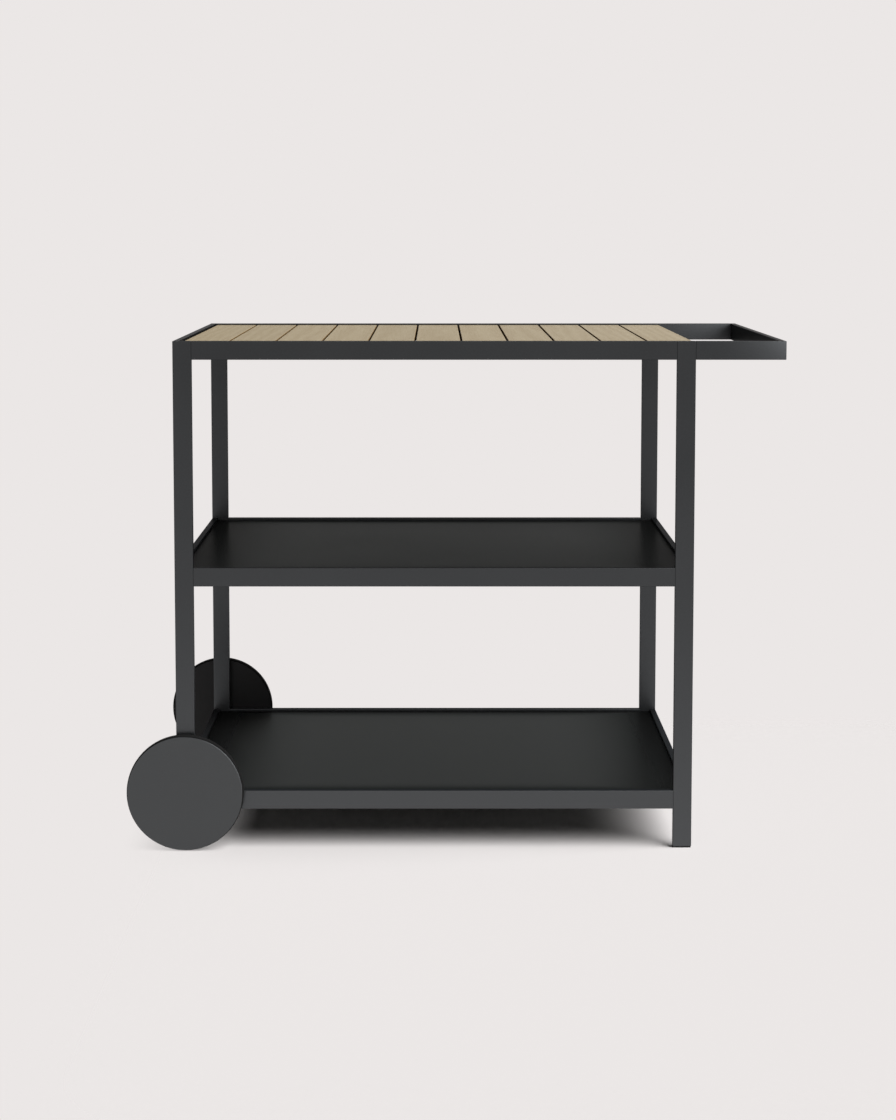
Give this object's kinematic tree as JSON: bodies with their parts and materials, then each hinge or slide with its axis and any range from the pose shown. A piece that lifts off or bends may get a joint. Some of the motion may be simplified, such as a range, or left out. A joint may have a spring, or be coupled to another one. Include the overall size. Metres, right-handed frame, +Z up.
{
  "type": "outdoor serving trolley",
  "caption": "Outdoor serving trolley: dark flat-bar frame with a teak slat top, open shelves, a push handle at one end and plain disc wheels at the other.",
  "frame": {"origin": "on the floor, at the middle of the trolley's box", "axes": "+X along the length towards the handle, +Y from the front to the rear, +Z up"},
  "size_m": [1.065, 0.532, 0.83],
  "materials": {
    "frame_coat": "anthracite powder coat, matt",
    "shelf_coat": "anthracite powder coat, matt",
    "wheel_coat": "anthracite powder coat, matt",
    "teak": "bare teak, pale and lightly weathered",
    "tyre_rubber": "black rubber, matt",
    "core_plastic": "black moulded plastic",
    "bush_plastic": "pale bearing plastic",
    "glide_plastic": "black plastic glide",
    "axle_steel": "stainless steel",
    "screw_steel": "stainless steel"
  },
  "bodies": {
    "chassis": {"left_front_post": "frame_coat", "left_rear_post": "frame_coat", "right_front_post": "frame_coat", "right_rear_post": "frame_coat", "top_front_rail": "frame_coat", "top_rear_rail": "frame_coat", "top_left_rail": "frame_coat", "top_right_crossbar": "frame_coat", "handle_front_arm": "frame_coat", "handle_rear_arm": "frame_coat", "handle_grip": "frame_coat", "slat_ledge_front": "frame_coat", "slat_ledge_rear": "frame_coat", "mid_front_rim": "frame_coat", "mid_shelf_front_strip": "shelf_coat", "mid_rear_rim": "frame_coat", "mid_shelf_rear_strip": "shelf_coat", "mid_left_rim": "frame_coat", "mid_shelf_left_strip": "shelf_coat", "mid_right_rim": "frame_coat", "mid_shelf_right_strip": "shelf_coat", "mid_shelf_panel": "shelf_coat", "mid_shelf_screws": "screw_steel", "low_front_rim": "frame_coat", "low_shelf_front_strip": "shelf_coat", "low_rear_rim": "frame_coat", "low_shelf_rear_strip": "shelf_coat", "low_left_rim": "frame_coat", "low_shelf_left_strip": "shelf_coat", "low_right_rim": "frame_coat", "low_shelf_right_strip": "shelf_coat", "low_shelf_panel": "shelf_coat", "low_shelf_screws": "screw_steel", "slat_01": "teak", "slat_02": "teak", "slat_03": "teak", "slat_04": "teak", "slat_05": "teak", "slat_06": "teak", "slat_07": "teak", "slat_08": "teak", "slat_09": "teak", "slat_10": "teak", "slat_11": "teak", "ledge_screws": "screw_steel", "slat_screws": "screw_steel", "right_front_foot": "glide_plastic", "front_axle_bolt": "axle_steel", "front_axle_spacer": "axle_steel", "right_rear_foot": "glide_plastic", "rear_axle_bolt": "axle_steel", "rear_axle_spacer": "axle_steel"},
    "front_wheel": {"front_wheel_cover": "wheel_coat", "front_wheel_core": "core_plastic", "front_wheel_tyre": "tyre_rubber", "front_wheel_bush": "bush_plastic"},
    "rear_wheel": {"rear_wheel_cover": "wheel_coat", "rear_wheel_core": "core_plastic", "rear_wheel_tyre": "tyre_rubber", "rear_wheel_bush": "bush_plastic"}
  },
  "joints": [
    {"name": "front_wheel_spin", "type": "hinge", "parent": "chassis", "child": "front_wheel", "pos_m": [-0.4375, -0.25, 0.095], "axis": [0, 1, 0], "continuous": true},
    {"name": "rear_wheel_spin", "type": "hinge", "parent": "chassis", "child": "rear_wheel", "pos_m": [-0.4375, 0.25, 0.095], "axis": [0, 1, 0], "continuous": true}
  ]
}
